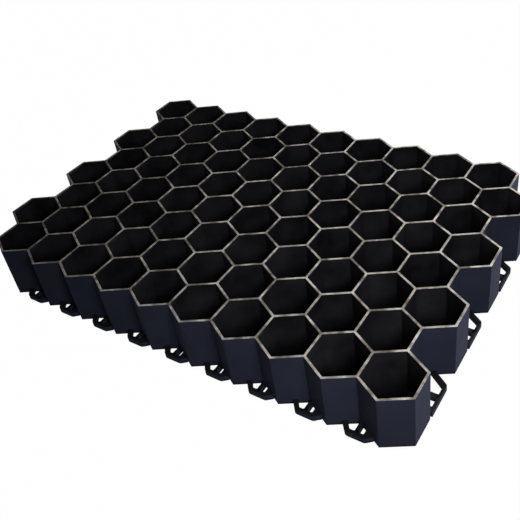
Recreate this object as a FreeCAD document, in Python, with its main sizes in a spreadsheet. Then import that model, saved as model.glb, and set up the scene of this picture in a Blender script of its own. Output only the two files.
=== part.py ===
# Grass paver grid: one moulded panel of hexagonal cells, open top and bottom. Flat loops at
# the foot of its front edge and of its right edge take the walls of the next panels, whose
# feet are notched over the ribs of the loops.
# Frame: X along the rows, Y across them, Z up. The origin is under the middle of the panel.
import FreeCAD, Part
import os
import math
import Sketcher

os.makedirs("parts", exist_ok=True)
doc = FreeCAD.newDocument("GrassPaverGrid")

# Driving dimensions: millimetres, degrees and counts
driving = {
    "cells_per_row": (10, "cells in each row"),
    "row_pairs": (4, "pairs of rows, each an odd row and the even row behind it"),
    "pitch": (50.0, "from one cell to the next"),
    "height": (60.0, "depth of the cells"),
    "wall": (2.4, "thickness of the walls at the rim"),
    "draft": (0.4, "slope of the cells' inner faces, which makes their feet thicker"),
    "loop_thickness": (6.0, "height of all the loops above the ground"),
    "joint_gap": (0.5, "between the walls of two joined panels"),
    "notch_play": (0.7, "around a loop's ribs in the notch above them"),
    "front_rib": (4.4, "width of the outer rib and of the arm of a front loop"),
    "front_reach": (2.0, "front loops in front of the foremost wall"),
    "front_arm": (13.0, "root of the slanted arm, left of the notch between two cells"),
    "front_heel": (5.6, "corner between the arm and the outer rib, left of the notch"),
    "front_bar": (1.2, "bar between the two holes, right of the notch"),
    "front_bar_width": (3.8, "width of that bar"),
    "front_eye": (4.8, "width of the small hole"),
    "front_end": (12.5, "end of the straight outer rib, right of the notch"),
    "front_toe": (18.5, "end of the loop, right of the notch"),
    "front_rise": (5.0, "slant of the outer edge between end and toe"),
    "side_rib": (3.2, "width of the outer rib of a side loop"),
    "side_reach": (0.8, "side loops beyond the outermost wall"),
    "side_start": (3.4, "start of the loop behind the corner of the outermost wall"),
    "side_foot": (6.1, "solid foot of the loop, along the edge"),
    "side_eye": (10.0, "length of the small hole"),
    "side_bar": (4.8, "bar between the two holes"),
    "side_window": (9.6, "length of the large hole at the outer rib"),
    "side_shoulder": (3.0, "shoulder of the arm beyond the large hole"),
    "side_arm": (7.0, "root of the arm's inner edge, from the recessed wall"),
    "side_arm_width": (4.0, "width of the arm at its root"),
    "outer_corner": (4.0, "radius of the loops' outer corners"),
    "hole_corner": (1.0, "radius of the corners of the holes"),
}
dims = doc.addObject("Spreadsheet::Sheet", "dims")
for line, (name, (value, meaning)) in enumerate(driving.items(), start=1):
    dims.set(f"A{line}", name)
    dims.set(f"B{line}", str(value))
    dims.set(f"C{line}", meaning)
    dims.setAlias(f"B{line}", name)
doc.recompute()


class Size:
    """A length formula: its text for the document and its value now."""

    def __init__(self, text, value):
        self.text = text
        self.value = value

    def joined(self, sign, other, value):
        other_text = other.text if isinstance(other, Size) else str(other)
        return Size(f"({self.text} {sign} {other_text})", value)

    def __add__(self, other):
        return self.joined("+", other, self.value + number(other))

    def __sub__(self, other):
        return self.joined("-", other, self.value - number(other))

    def __mul__(self, other):
        return self.joined("*", other, self.value * number(other))

    def __truediv__(self, other):
        return self.joined("/", other, self.value / number(other))


def number(size):
    return size.value if isinstance(size, Size) else size


def dim(name):
    return Size(f"dims.{name}", driving[name][0])


# Lattice: pointed hexagons, each row half a pitch aside of the last. The middle of the first
# cell of the first row is at zero here, and the body is shifted at the end.
cells_per_row = dim("cells_per_row")
row_pairs = dim("row_pairs")
pitch = dim("pitch")
wall = dim("wall")
root_three = Size("sqrt(3)", math.sqrt(3))
zero = pitch * 0
half_pitch = pitch / 2
side = pitch / root_three
row_step = pitch * root_three / 2
pair_step = row_step * 2
outer_radius = (pitch + wall) / root_three
inner_radius = (pitch - wall) / root_three
row_end = pitch * cells_per_row - half_pitch

body = doc.addObject("PartDesign::Body", "paver_grid")
body.Label = "paver_grid"
body.AllowCompound = True


def bind(feature, prop, size):
    feature.setExpression(prop, size.text)


def base_plane(role):
    return next(item for item in body.Origin.OriginFeatures if item.Role == role)


def new_sketch(name, level=None):
    sketch = body.newObject("Sketcher::SketchObject", name)
    sketch.AttachmentSupport = [(base_plane("XY_Plane"), "")]
    sketch.MapMode = "FlatFace"
    if level is not None:
        bind(sketch, "AttachmentOffset.Base.z", level)
    return sketch


def draw_outline(sketch, corners):
    """Closed outline, anticlockwise. A corner is (x, y) or, where it is rounded, (x, y, radius)."""
    count = len(corners)
    points = [FreeCAD.Vector(corner[0].value, corner[1].value, 0) for corner in corners]
    starts = list(points)
    ends = list(points)
    middles = {}
    convex = {}
    for index, corner in enumerate(corners):
        if len(corner) == 2:
            continue
        radius = corner[2].value
        before = (points[index - 1] - points[index]).normalize()
        after = (points[(index + 1) % count] - points[index]).normalize()
        half_angle = before.getAngle(after) / 2
        starts[index] = points[index] + after * (radius / math.tan(half_angle))
        ends[index] = points[index] + before * (radius / math.tan(half_angle))
        inward = (before + after).normalize()
        middles[index] = points[index] + inward * (radius / math.sin(half_angle) - radius)
        convex[index] = before.cross(after).z < 0
    sides = [Part.LineSegment(starts[index - 1], ends[index]) for index in range(count)]
    arcs = [Part.Arc(ends[index], middles[index], starts[index]) for index in middles]
    lines = sketch.addGeometry(sides)
    rounds = dict(zip(middles, sketch.addGeometry(arcs)))
    tips = dict(zip(middles, sketch.addGeometry([Part.Point(points[index]) for index in middles], True)))
    constraints = []
    formulas = []

    def constrain(size, *items):
        values = items if size is None else items + (size.value,)
        constraints.append(Sketcher.Constraint(*values))
        formulas.append(size)

    for index, corner in enumerate(corners):
        incoming = lines[index]
        outgoing = lines[(index + 1) % count]
        if index in middles:
            arc = rounds[index]
            tip = tips[index]
            first, last = (1, 2) if convex[index] else (2, 1)
            constrain(None, "Tangent", incoming, 2, arc, first)
            constrain(None, "Tangent", outgoing, 1, arc, last)
            constrain(corner[2], "Radius", arc)
            constrain(None, "PointOnObject", tip, 1, incoming)
            constrain(None, "PointOnObject", tip, 1, outgoing)
            constrain(corner[0], "DistanceX", -1, 1, tip, 1)
            constrain(corner[1], "DistanceY", -1, 1, tip, 1)
        else:
            constrain(None, "Coincident", incoming, 2, outgoing, 1)
            constrain(corner[0], "DistanceX", -1, 1, outgoing, 1)
            constrain(corner[1], "DistanceY", -1, 1, outgoing, 1)
    for number, size in zip(sketch.addConstraint(constraints), formulas):
        if size is not None:
            sketch.setExpression(f"Constraints[{number}]", size.text)


def rectangle(left, front, right, back):
    return [(left, front), (right, front), (right, back), (left, back)]


def hexagon(centre, radius):
    """Corners of a hexagon with a point at its front and at its back."""
    across, along = centre
    reach = radius * root_three / 2
    return [
        (across + reach, along + radius / 2),
        (across, along + radius),
        (across - reach, along + radius / 2),
        (across - reach, along - radius / 2),
        (across, along - radius),
        (across + reach, along - radius / 2),
    ]


def pad(name, sketch, length):
    feature = body.newObject("PartDesign::Pad", name)
    feature.Profile = sketch
    bind(feature, "Length", length)
    return feature


def pocket(name, sketch, depth, taper=None, upward=False):
    feature = body.newObject("PartDesign::Pocket", name)
    feature.Profile = sketch
    feature.Type = "Length"
    bind(feature, "Length", depth)
    feature.Reversed = upward
    if taper is not None:
        bind(feature, "TaperAngle", taper)
    return feature


def pattern(name, originals, sketch, along_x=None, along_y=None):
    """Copies along X and Y: each direction is a spacing and a count."""
    feature = body.newObject("PartDesign::LinearPattern", name)
    feature.Originals = originals
    runs = []
    if along_x is not None:
        runs.append(("H_Axis", along_x))
    if along_y is not None:
        runs.append(("V_Axis", along_y))
    for suffix, (axis, (spacing, count)) in zip(("", "2"), runs):
        setattr(feature, "Direction" + suffix, (sketch, [axis]))
        setattr(feature, "Mode" + suffix, "Extent")
        bind(feature, "Length" + suffix, spacing * (count - 1))
        bind(feature, "Occurrences" + suffix, count)
    body.Tip = feature
    return feature


# Front loops: one in each notch between two cells of the first row. Across, their places
# count from the notch; along, from the middle of the first row.
front_edge = {
    "heel": half_pitch - dim("front_heel"),
    "arm": half_pitch - dim("front_arm"),
    "bar": half_pitch + dim("front_bar"),
    "eye": half_pitch + dim("front_bar") + dim("front_bar_width"),
    "eye_end": half_pitch + dim("front_bar") + dim("front_bar_width") + dim("front_eye"),
    "end": half_pitch + dim("front_end"),
    "toe": half_pitch + dim("front_toe"),
    "root": zero - side / 2,
    "outer": zero - outer_radius - dim("front_reach"),
    "inner": zero - outer_radius - dim("front_reach") + dim("front_rib"),
}


def front_loops():
    at = front_edge
    rib = dim("front_rib")
    outer_corner = dim("outer_corner")
    hole_corner = dim("hole_corner")
    arm_root = at["arm"] / root_three - outer_radius
    plate = new_sketch("front_loop_outline")
    draw_outline(plate, [
        (at["arm"], at["root"]),
        (at["arm"], arm_root),
        (at["heel"], at["outer"], outer_corner),
        (at["end"], at["outer"], outer_corner),
        (at["toe"], at["outer"] + dim("front_rise")),
        (at["toe"], at["root"])])
    solid = pad("front_loop_plate", plate, dim("loop_thickness"))
    holes = new_sketch("front_loop_holes")
    draw_outline(holes, [
        (at["arm"] + rib, at["root"]),
        (at["arm"] + rib, arm_root + rib / root_three),
        (at["heel"] + rib / 2, at["inner"], hole_corner),
        (at["bar"], at["inner"], hole_corner),
        (at["bar"], at["root"])])
    draw_outline(holes, [
        (at["eye"], at["root"]),
        (at["eye"], at["inner"], hole_corner),
        (at["eye_end"], at["inner"], hole_corner),
        (at["eye_end"], at["root"])])
    cut = pocket("front_loop_eyes", holes, dim("loop_thickness"), upward=True)
    pattern("front_loops", [solid, cut], plate, along_x=(pitch, cells_per_row - 1))


# Side loops: one in each recess at the right end of the even rows, apart from the last row
side_start = side / 2 + dim("side_start")
side_eye = side_start + dim("side_foot")
side_window = side_eye + dim("side_eye") + dim("side_bar")
side_edge = {
    "recess": row_end - half_pitch,
    "outer": row_end + wall / 2 + dim("side_reach"),
    "inner": row_end + wall / 2 + dim("side_reach") - dim("side_rib"),
    "start": side_start,
    "eye": side_eye,
    "eye_end": side_eye + dim("side_eye"),
    "window": side_window,
    "window_end": side_window + dim("side_window"),
}


def side_wall(from_recess):
    """Skin of the wall behind a side loop, this far from the recessed wall."""
    return pair_step - outer_radius + from_recess / root_three


def side_loops():
    at = side_edge
    outer_corner = dim("outer_corner")
    hole_corner = dim("hole_corner")
    arm = dim("side_arm")
    arm_back = dim("side_arm") + dim("side_arm_width")
    root = pair_step - side / 2
    plate = new_sketch("side_loop_outline")
    draw_outline(plate, [
        (at["recess"], at["start"]),
        (at["outer"], at["start"]),
        (at["outer"], at["window_end"] + dim("side_shoulder"), outer_corner),
        (at["recess"] + arm_back, side_wall(arm_back)),
        (at["recess"] + arm_back, root),
        (at["recess"], root)])
    solid = pad("side_loop_plate", plate, dim("loop_thickness"))
    holes = new_sketch("side_loop_holes")
    draw_outline(holes, [
        (at["recess"], at["eye"]),
        (at["inner"], at["eye"], hole_corner),
        (at["inner"], at["eye_end"], hole_corner),
        (at["recess"], at["eye_end"])])
    draw_outline(holes, [
        (at["recess"], at["window"]),
        (at["inner"], at["window"], hole_corner),
        (at["inner"], at["window_end"], hole_corner),
        (at["recess"] + arm, side_wall(arm)),
        (at["recess"] + arm, root),
        (at["recess"], root)])
    cut = pocket("side_loop_eyes", holes, dim("loop_thickness"), upward=True)
    pattern("side_loops", [solid, cut], plate, along_y=(pair_step, row_pairs - 1))


# Panel block: its zigzag outline follows the outer walls of the edge cells
def front_and_right_edge():
    notch = outer_radius - half_pitch / root_three
    lap = wall / root_three / 2
    last = row_end - half_pitch
    points = [(zero - (pitch + wall) / 2, zero - outer_radius / 2)]
    for cell in range(driving["cells_per_row"][0]):
        if cell > 0:
            points.append((pitch * cell - half_pitch, zero - notch))
        points.append((pitch * cell, zero - outer_radius))
    for pair in range(driving["row_pairs"][0]):
        row = pair_step * pair
        if pair > 0:
            points.append((last + wall / 2, row - outer_radius + lap))
        points.append((last + (pitch + wall) / 2, row - outer_radius / 2))
        points.append((last + (pitch + wall) / 2, row + outer_radius / 2))
        points.append((last + wall / 2, row + outer_radius - lap))
    return points


def panel_block():
    across = row_end - pitch
    along = row_step * (row_pairs * 2 - 1)
    half = front_and_right_edge()
    other_half = [(across - x, along - y) for x, y in half]
    outline = new_sketch("panel_outline")
    draw_outline(outline, half + other_half)
    pad("panel_block", outline, dim("height"))


# Notches: where the next panel's loops lie, the back walls and the left walls stand clear of
# their ribs, and the feet left between the notches drop into the holes
def back_notches():
    at = front_edge
    play = dim("notch_play")
    behind = pair_step * row_pairs + (wall + dim("joint_gap")) * 2 / root_three
    front = behind + at["outer"] - play
    back = behind + at["root"] + wall
    slant = dim("front_rib")
    feet = new_sketch("back_notch_outlines")
    draw_outline(feet, rectangle(at["arm"] - play, front, at["arm"] + slant * 2 + play, back))
    draw_outline(feet, rectangle(at["bar"] - play, front, at["eye"] + play, back))
    draw_outline(feet, rectangle(at["eye_end"] - play, front, at["toe"] + play, back))
    cut = pocket("back_notch", feet, dim("loop_thickness") + play, upward=True)
    pattern("back_notches", [cut], feet, along_x=(pitch, cells_per_row - 1))


def left_notches():
    at = side_edge
    play = dim("notch_play")
    aside = pitch * cells_per_row + (wall + dim("joint_gap")) * 2
    recess = at["recess"] - aside
    arm = recess + dim("side_arm")
    arm_back = arm + dim("side_arm_width") * 2
    feet = new_sketch("left_notch_outlines")
    draw_outline(feet, rectangle(recess, at["start"] - play, at["outer"] - aside + play, at["eye"] + play))
    draw_outline(feet, rectangle(recess, at["eye_end"] - play, zero - pitch + wall * 2, at["window"] + play))
    draw_outline(feet, rectangle(arm - play, pair_step - side, arm_back + play, pair_step - side / 2))
    cut = pocket("left_notch", feet, dim("loop_thickness") + play, upward=True)
    pattern("left_notches", [cut], feet, along_y=(pair_step, row_pairs - 1))


# Cell openings: an odd and an even cell, tapered by the draft, repeated over the panel
def cell_openings():
    mouth = new_sketch("cell_mouths", dim("height"))
    draw_outline(mouth, hexagon((zero, zero), inner_radius))
    draw_outline(mouth, hexagon((zero - half_pitch, row_step), inner_radius))
    opening = pocket("cell_pair", mouth, dim("height"), taper=zero - dim("draft"))
    pattern("cells", [opening], mouth,
            along_x=(pitch, cells_per_row), along_y=(pair_step, row_pairs))


front_loops()
side_loops()
panel_block()
back_notches()
left_notches()
cell_openings()

# The panel's middle: halfway between its outermost walls and loops
left_end = zero - pitch - wall / 2
back_end = row_step * (row_pairs * 2 - 1) + outer_radius
bind(body, "Placement.Base.x", zero - (left_end + side_edge["outer"]) / 2)
bind(body, "Placement.Base.y", zero - (front_edge["outer"] + back_end) / 2)
doc.recompute()

for item in doc.Objects:
    if "Invalid" in item.State or "Error" in item.State:
        raise SystemExit(f"{item.Name} failed: {item.State}")
shape = body.Shape
if shape.isNull() or not shape.isValid() or len(shape.Solids) != 1:
    raise SystemExit("the panel is not one valid solid")
shape.exportStep(os.path.join("parts", body.Label + ".step"))
box = shape.BoundBox
print(f"{body.Label}: {box.XLength:.2f} x {box.YLength:.2f} x {box.ZLength:.2f} mm,",
      f"volume {shape.Volume / 1000:.1f} cm3, {len(shape.Faces)} faces")
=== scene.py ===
import math

import bpy
from mathutils import Matrix, Vector


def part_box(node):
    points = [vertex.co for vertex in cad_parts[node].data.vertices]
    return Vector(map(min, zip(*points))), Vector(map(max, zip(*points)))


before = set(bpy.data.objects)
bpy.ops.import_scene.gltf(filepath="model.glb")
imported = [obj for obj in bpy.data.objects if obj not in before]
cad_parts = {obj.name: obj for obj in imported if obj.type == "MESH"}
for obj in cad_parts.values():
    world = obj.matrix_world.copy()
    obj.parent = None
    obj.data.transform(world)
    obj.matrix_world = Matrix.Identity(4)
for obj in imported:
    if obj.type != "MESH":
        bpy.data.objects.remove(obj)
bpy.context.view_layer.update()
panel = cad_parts["paver_grid"]
panelLow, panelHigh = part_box("paver_grid")
print("frame loaded")

white = (1.0, 1.0, 1.0, 1.0)


class Wire:
    # a node's output that can be used in plain arithmetic: each operation adds a Math node
    def __init__(self, finish, socket):
        self.finish = finish
        self.socket = socket

    def maths(self, operation, first, second, clamp=False):
        settings = {"operation": operation, "use_clamp": clamp}
        return self.finish.wire("ShaderNodeMath", 0, settings, [first, second])

    def __add__(self, other):
        return self.maths("ADD", self, other)

    def __radd__(self, other):
        return self.maths("ADD", other, self)

    def __sub__(self, other):
        return self.maths("SUBTRACT", self, other)

    def __rsub__(self, other):
        return self.maths("SUBTRACT", other, self)

    def __mul__(self, other):
        return self.maths("MULTIPLY", self, other)

    def __rmul__(self, other):
        return self.maths("MULTIPLY", other, self)

    def __truediv__(self, other):
        return self.maths("DIVIDE", self, other)

    def __rtruediv__(self, other):
        return self.maths("DIVIDE", other, self)

    def __gt__(self, other):
        return self.maths("GREATER_THAN", self, other)

    def __lt__(self, other):
        return self.maths("LESS_THAN", self, other)

    def clamped(self):
        return self.maths("ADD", self, 0.0, clamp=True)

    def between(self, low, high):      # 0 below low, 1 above high, straight in the middle
        return ((self - low) / (high - low)).clamped()


class Finish:
    # the nodes of one material or world: they are all made by node()
    def __init__(self, owner):
        owner.use_nodes = True
        self.owner = owner
        self.tree = owner.node_tree
        self.tree.nodes.clear()

    def node(self, kind, settings=None, sockets=None):
        made = self.tree.nodes.new(kind)
        for name, value in (settings or {}).items():
            setattr(made, name, value)
        pairs = sockets.items() if isinstance(sockets, dict) else enumerate(sockets or [])
        for key, value in pairs:
            if isinstance(value, Wire):
                self.tree.links.new(value.socket, made.inputs[key])
            else:
                made.inputs[key].default_value = value
        return made

    def wire(self, kind, output, settings=None, sockets=None):
        return Wire(self, self.node(kind, settings, sockets).outputs[output])

    def mixed(self, amount, first, second):      # colours, by amount from first to second
        # a Mix node has sockets of the same name for each type: 6 and 7 are the colours, and output 2
        sockets = {"Factor": amount, 6: first, 7: second}
        return self.wire("ShaderNodeMix", 2, {"data_type": "RGBA"}, sockets)

    def noise(self, place, scale, detail, roughness=0.5):
        sockets = {"Vector": place, "Scale": scale, "Detail": detail, "Roughness": roughness}
        return self.wire("ShaderNodeTexNoise", "Fac", None, sockets)

    def stretched(self, place, scales):
        return self.wire("ShaderNodeVectorMath", 0, {"operation": "MULTIPLY"}, [place, scales])

    def withinPanel(self, place, margins):      # 1 where place lies inside the panel's edges by the margins
        left, front, right, back = margins
        spot = self.node("ShaderNodeSeparateXYZ", None, [place])
        across = Wire(self, spot.outputs["X"])
        along = Wire(self, spot.outputs["Y"])
        betweenSides = (across > panelLow.x + left) * (across < panelHigh.x - right)
        return betweenSides * (along > panelLow.y + front) * (along < panelHigh.y - back)

    def output(self, surface, kind="ShaderNodeOutputMaterial"):
        self.node(kind, None, {"Surface": surface})
        return self.owner


# Moulded panel: black recycled polyethylene, satin. The outside of its walls is lighter and bluer, a
# painted sheen, the insides of the cells, the loops and the lowest edge are darker, painted shade, and the
# rims are pale, a painted highlight with wear.
# Lengths are in metres and noises are scale, detail and roughness
polyethylene = {
    # outside of the walls: painted sheen; insides of the cells: painted shade
    "outerSheenColour": (0.0215, 0.024, 0.04, 1.0),
    "outerSheenTint": (0.0165, 0.0185, 0.0315, 1.0),
    "innerShadeColour": (0.0165, 0.0155, 0.018, 1.0),
    "innerShadeTint": (0.005, 0.0045, 0.0055, 1.0),
    "cloudNoise": (28.0, 3.0),               # mixes each colour with its tint
    "cloudRange": (0.3, 0.7),
    "cellHalf": 0.025,                       # from a wall's face to the middle of its cell
    "cellMargins": (0.0137, 0.0103, 0.0145, 0.0088),      # left, front, right and back
    # rims: a painted highlight, with wear
    "rimColour": (0.11, 0.099, 0.088, 1.0),
    "rimWorn": (0.43, 0.402, 0.365, 1.0),
    "rimBand": (0.0007, 0.00021),            # below the top: where the rim's colour starts and is full
    "rimShare": (0.6, 0.25, 0.15),           # even, from the patches and from the wear
    "wornHighlightShare": (0.65, 0.35),               # from the patches and from the wear
    "patchNoise": (65.0, 2.0),
    "patchRange": (0.4, 0.6),
    "wearNoise": (160.0, 4.0, 0.65),
    "wearRange": (0.35, 0.6),
    "wornHighlightRange": (0.4, 0.65),
    "upRange": (0.25, 0.75),                 # how far a face looks up: from a wall to a rim
    # painted shade on the loops and the lowest edge
    "footShadeColour": (0.009, 0.009, 0.0115, 1.0),
    "loopTop": (0.007, 0.01),                # faces below it that look up are the loops'
    "footShade": (0.0005, 0.004),            # lowest edge: full below, gone above
    "footShare": 0.6,
    "wallRoughness": 0.48,
    "rimRoughness": 0.5,
    "streakRoughness": 0.1,
    "glossLevel": 0.02,
    "ior": 1.5,
    "grainNoise": (900.0, 3.0, 0.6),
    "streakScales": (220.0, 220.0, 9.0),     # drawn out along the height
    "streakNoise": (1.0, 4.0, 0.6),
    "reliefShare": (0.6, 0.4),               # from the streaks and from the grain
    "reliefStrength": 0.35,
    "reliefDepth": 0.00006,
}


def panelFinish(look, top):
    finish = Finish(bpy.data.materials.new("blackPolyethylene"))
    coords = finish.node("ShaderNodeTexCoord")
    place = Wire(finish, coords.outputs["Object"])
    normal = Wire(finish, coords.outputs["Normal"])
    height = finish.wire("ShaderNodeSeparateXYZ", "Z", None, [place])
    facingUp = finish.wire("ShaderNodeSeparateXYZ", "Z", None, [normal]).between(*look["upRange"])
    cloud = finish.noise(place, *look["cloudNoise"]).between(*look["cloudRange"])
    patches = finish.noise(place, *look["patchNoise"]).between(*look["patchRange"])
    wear = finish.noise(place, *look["wearNoise"])
    grain = finish.noise(place, *look["grainNoise"])
    streaks = finish.noise(finish.stretched(place, look["streakScales"]), *look["streakNoise"])

    # walls: a point half a cell in front of a face lies over the panel only for the insides
    ahead = finish.wire("ShaderNodeVectorMath", 0, {"operation": "MULTIPLY_ADD"},
                        [normal, (look["cellHalf"],) * 3, place])
    insideShade = finish.withinPanel(ahead, look["cellMargins"])
    # the insides of the cells are darker and neutral, painted shade, and the outsides lighter and bluer, a
    # painted sheen
    outerSheenColour = finish.mixed(cloud, look["outerSheenTint"], look["outerSheenColour"])
    innerShadeColour = finish.mixed(cloud, look["innerShadeTint"], look["innerShadeColour"])
    wallColour = finish.mixed(insideShade, outerSheenColour, innerShadeColour)

    # loops and feet: painted shade, darker on the loops' upward faces and along the lowest edge
    loopShade = facingUp * (1 - height.between(*look["loopTop"]))
    footAndLoopShade = (loopShade + look["footShare"] * (1 - height.between(*look["footShade"]))).clamped()
    wallColour = finish.mixed(footAndLoopShade, wallColour, look["footShadeColour"])

    # rims: pale, a painted highlight with wear
    start, full = look["rimBand"]
    even, fromPatches, fromWear = look["rimShare"]
    rim = even + fromPatches * patches + fromWear * wear.between(*look["wearRange"])
    rim = height.between(top - start, top - full) * facingUp * rim
    fromPatches, fromWear = look["wornHighlightShare"]
    wornHighlight = fromPatches * patches + fromWear * wear.between(*look["wornHighlightRange"])
    colour = finish.mixed(rim, wallColour, finish.mixed(wornHighlight, look["rimColour"], look["rimWorn"]))

    roughness = look["wallRoughness"] + look["streakRoughness"] * streaks
    roughness = roughness + (look["rimRoughness"] - look["wallRoughness"]) * rim
    fromStreaks, fromGrain = look["reliefShare"]
    relief = finish.wire("ShaderNodeBump", 0, None, {
        "Strength": look["reliefStrength"], "Distance": look["reliefDepth"],
        "Height": fromStreaks * streaks + fromGrain * grain})
    shader = finish.wire("ShaderNodeBsdfPrincipled", 0, None, {
        "Base Color": colour, "Roughness": roughness, "Normal": relief,
        "Specular IOR Level": look["glossLevel"], "IOR": look["ior"]})
    return finish.output(shader)


# Rounded edges: the moulding has no sharp corner at its rims, feet and loops
edgeRounding = {"joinDistance": 0.00001, "radius": 0.0004, "segments": 2, "angle": 35.0}


def roundEdges(piece, look):
    join = piece.modifiers.new("joinCorners", "WELD")
    join.merge_threshold = look["joinDistance"]
    rounding = piece.modifiers.new("roundEdges", "BEVEL")
    rounding.width = look["radius"]
    rounding.segments = look["segments"]
    rounding.limit_method = "ANGLE"
    rounding.angle_limit = math.radians(look["angle"])
    rounding.use_clamp_overlap = True
    rounding.harden_normals = True


panel.data.materials.clear()
panel.data.materials.append(panelFinish(polyethylene, panelHigh.z))
roundEdges(panel, edgeRounding)
print("panel finished")


# Floor: white to the camera, and a matt grey that lights the walls only a little
floorLook = {
    "size": 12.0,
    "colour": (0.28, 0.28, 0.28, 1.0),
    "roughness": 0.9,
    "seenStrength": 1.0,
    "whitening": 0.995,                      # of what the camera sees: the rest shows the panel's shadow
    "glossShare": 0.25,                      # of its white that the walls mirror, and none under the cells
    "cellMargins": (0.0261, 0.0178, 0.0281, 0.0148),      # left, front, right and back
}


def makeFloor(look):
    half = look["size"] / 2
    mesh = bpy.data.meshes.new("paleFloor")
    corners = [(-half, -half, 0.0), (half, -half, 0.0), (half, half, 0.0), (-half, half, 0.0)]
    mesh.from_pydata(corners, [], [(0, 1, 2, 3)])
    floor = bpy.data.objects.new("paleFloor", mesh)
    bpy.context.scene.collection.objects.link(floor)
    finish = Finish(bpy.data.materials.new("paleFloor"))
    rays = finish.node("ShaderNodeLightPath")
    coords = finish.node("ShaderNodeTexCoord")
    underCells = finish.withinPanel(Wire(finish, coords.outputs["Object"]), look["cellMargins"])
    mirrored = Wire(finish, rays.outputs["Is Glossy Ray"]) * look["glossShare"] * (1 - underCells)
    seen = Wire(finish, rays.outputs["Is Camera Ray"]) + Wire(finish, rays.outputs["Is Transmission Ray"])
    seen = (seen + mirrored).clamped()
    lit = finish.wire("ShaderNodeBsdfDiffuse", 0, None,
                      {"Color": look["colour"], "Roughness": look["roughness"]})
    shining = finish.wire("ShaderNodeEmission", 0, None, {"Color": white, "Strength": look["seenStrength"]})
    surface = finish.wire("ShaderNodeMixShader", 0, None, [seen * look["whitening"], lit, shining])
    mesh.materials.append(finish.output(surface))


makeFloor(floorLook)
print("floor laid")


# Studio: white surroundings that hardly light the panel, and three soft lamps
studio = {
    "seenStrength": 1.0,
    "skyStrength": 0.04,
    "lamps": [      # sizes in metres, spreads in degrees, powers in watts
        {"name": "topLamp", "location": (0.1, 0.2, 0.8), "aim": (0.47, 0.3, 0.03),
         "size": 0.4, "spread": 108.0, "power": 3.4},
        {"name": "rightLamp", "location": (1.18, 1.31, 0.12), "aim": (0.26, 0.0, 0.03),
         "size": 0.2, "spread": 180.0, "power": 42.0},
        {"name": "frontLamp", "location": (0.6, -0.45, 0.5), "aim": (0.17, -0.12, 0.03),
         "size": 0.3, "spread": 76.0, "power": 0.98},
    ],
}


def addLamp(look):
    light = bpy.data.lights.new(look["name"], "AREA")
    light.shape = "DISK"
    light.size = look["size"]
    light.spread = math.radians(look["spread"])
    light.energy = look["power"]
    lamp = bpy.data.objects.new(look["name"], light)
    lamp.location = look["location"]
    lamp.rotation_euler = (Vector(look["aim"]) - lamp.location).to_track_quat("-Z", "Y").to_euler()
    lamp.visible_camera = False
    bpy.context.scene.collection.objects.link(lamp)


def lightStudio(look):
    world = bpy.data.worlds.new("whiteStudio")
    bpy.context.scene.world = world
    sky = Finish(world)
    rays = sky.node("ShaderNodeLightPath")
    seen = Wire(sky, rays.outputs["Is Camera Ray"]) + Wire(sky, rays.outputs["Is Glossy Ray"])
    seen = (seen + Wire(sky, rays.outputs["Is Transmission Ray"])).clamped()
    strength = look["skyStrength"] + (look["seenStrength"] - look["skyStrength"]) * seen
    background = sky.wire("ShaderNodeBackground", 0, None, {"Color": white, "Strength": strength})
    sky.output(background, "ShaderNodeOutputWorld")
    for lampLook in look["lamps"]:
        addLamp(lampLook)


lightStudio(studio)
print("studio lit")


# Camera: over the panel's front right corner, tilted a little as in the photograph
viewpoint = {
    "location": (0.4107, -0.4927, 0.5022),
    "aim": (0.0345, 0.011, 0.03),
    "roll": -8.08,                           # degrees
    "lens": 48.83,                           # millimetres, as the sensor
    "sensor": 36.0,
    "shift": (-0.0577, -0.0577),
}


def placeCamera(look):
    location = Vector(look["location"])
    forward = (Vector(look["aim"]) - location).normalized()
    level = forward.cross(Vector((0.0, 0.0, 1.0))).normalized()
    upright = level.cross(forward)
    roll = math.radians(look["roll"])
    right = level * math.cos(roll) + upright * math.sin(roll)
    up = right.cross(forward)
    lens = bpy.data.cameras.new("photoCamera")
    lens.lens = look["lens"]
    lens.sensor_width = look["sensor"]
    lens.shift_x, lens.shift_y = look["shift"]
    camera = bpy.data.objects.new("photoCamera", lens)
    turn = Matrix((right, up, -forward)).transposed().to_4x4()
    camera.matrix_world = Matrix.Translation(location) @ turn
    bpy.context.scene.collection.objects.link(camera)
    bpy.context.scene.camera = camera


placeCamera(viewpoint)
bpy.context.scene.view_settings.view_transform = "Standard"
print("camera placed")
